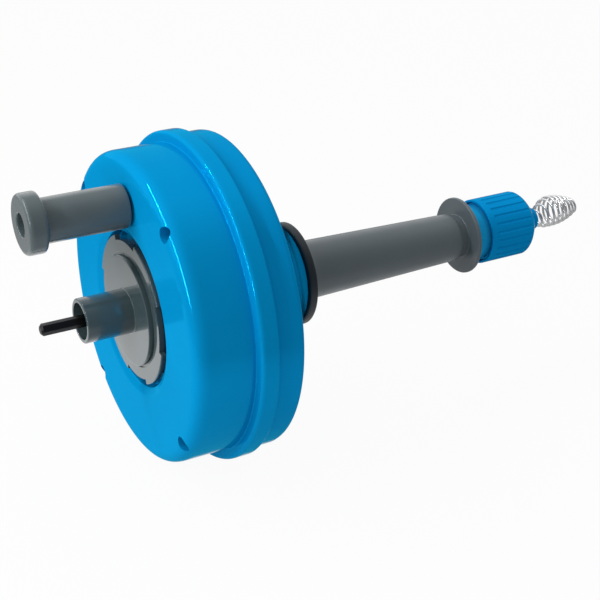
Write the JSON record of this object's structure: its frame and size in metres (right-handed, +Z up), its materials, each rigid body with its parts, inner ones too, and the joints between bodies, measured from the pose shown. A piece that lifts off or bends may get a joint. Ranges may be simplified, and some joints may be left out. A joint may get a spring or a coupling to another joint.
{
  "type": "drain snake machine",
  "caption": "Hand-held drain snake: cable drum with crank knob and hexagonal drive shank, free-turning grip, clamping chuck nut and coiled bulb head.",
  "frame": {"origin": "middle of the hand grip, on the axis that the drum, the spindle and the chuck turn about", "axes": "+X along that axis towards the bulb head, +Z up, with the crank knob 3 degrees past straight up at rest"},
  "size_m": [0.3778, 0.1934, 0.1934],
  "materials": {
    "rear_shell": "glossy moulded plastic",
    "front_shell": "glossy moulded plastic",
    "chuck_nut": "glossy moulded plastic",
    "chuck_body": "glossy moulded plastic",
    "grip_sleeve": "satin moulded plastic",
    "hub_cap": "satin moulded plastic",
    "crank_knob": "satin moulded plastic",
    "rear_grip_bush": "natural nylon",
    "front_grip_bush": "natural nylon",
    "rear_thrust_washer": "black nylon",
    "front_thrust_washer": "natural nylon",
    "drive_shank": "black oxide",
    "set_screw_1": "black oxide",
    "set_screw_2": "black oxide",
    "shank_nut": "machined brass",
    "cable_collet": "machined brass",
    "nut_washer": "machined brass",
    "shell_screw_1": "zinc plated",
    "shell_screw_2": "zinc plated",
    "shell_screw_3": "zinc plated",
    "shell_screw_4": "zinc plated",
    "knob_bolt": "zinc plated",
    "knob_washer": "zinc plated",
    "knob_nut": "zinc plated",
    "spindle_tube": "zinc plated",
    "spindle_screw_1": "zinc plated",
    "spindle_screw_2": "zinc plated",
    "spindle_screw_3": "zinc plated",
    "cable_anchor": "zinc plated",
    "anchor_screw": "zinc plated",
    "cable_coil": "zinc plated",
    "cable_lead": "zinc plated",
    "auger_head": "zinc plated"
  },
  "bodies": {
    "grip": {"grip_sleeve": "grip_sleeve", "rear_grip_bush": "rear_grip_bush", "front_grip_bush": "front_grip_bush", "rear_thrust_washer": "rear_thrust_washer", "front_thrust_washer": "front_thrust_washer"},
    "drum": {"rear_shell": "rear_shell", "front_shell": "front_shell", "shell_screw_1": "shell_screw_1", "shell_screw_2": "shell_screw_2", "shell_screw_3": "shell_screw_3", "shell_screw_4": "shell_screw_4", "hub_cap": "hub_cap", "drive_shank": "drive_shank", "shank_nut": "shank_nut", "knob_bolt": "knob_bolt", "knob_washer": "knob_washer", "knob_nut": "knob_nut", "spindle_tube": "spindle_tube", "spindle_screw_1": "spindle_screw_1", "spindle_screw_2": "spindle_screw_2", "spindle_screw_3": "spindle_screw_3", "chuck_body": "chuck_body", "set_screw_1": "set_screw_1", "set_screw_2": "set_screw_2", "cable_anchor": "cable_anchor", "anchor_screw": "anchor_screw", "cable_coil": "cable_coil"},
    "knob": {"crank_knob": "crank_knob"},
    "collet": {"cable_collet": "cable_collet", "nut_washer": "nut_washer"},
    "nut": {"chuck_nut": "chuck_nut"},
    "cable": {"cable_lead": "cable_lead", "auger_head": "auger_head"}
  },
  "joints": [
    {"name": "drum_spin", "type": "hinge", "parent": "grip", "child": "drum", "pos_m": [0, 0, 0], "axis": [1, 0, 0], "continuous": true},
    {"name": "knob_spin", "type": "hinge", "parent": "drum", "child": "knob", "pos_m": [-0.17, -0.0034, 0.06491], "axis": [1, 0, 0], "continuous": true},
    {"name": "collet_slide", "type": "slide", "parent": "drum", "child": "collet", "axis": [1, 0, 0], "range_m": [-0.0042, 0]},
    {"name": "nut_turn", "type": "hinge", "parent": "collet", "child": "nut", "pos_m": [0.1, 0, 0], "axis": [1, 0, 0], "range_deg": [-500, 0]},
    {"name": "cable_feed", "type": "slide", "parent": "drum", "child": "cable", "axis": [1, 0, 0], "range_m": [0, 0.15]}
  ],
  "couplings": [
    {"joint": "collet_slide", "follows": "nut_turn", "m_per_rad": 0.00047746}
  ]
}
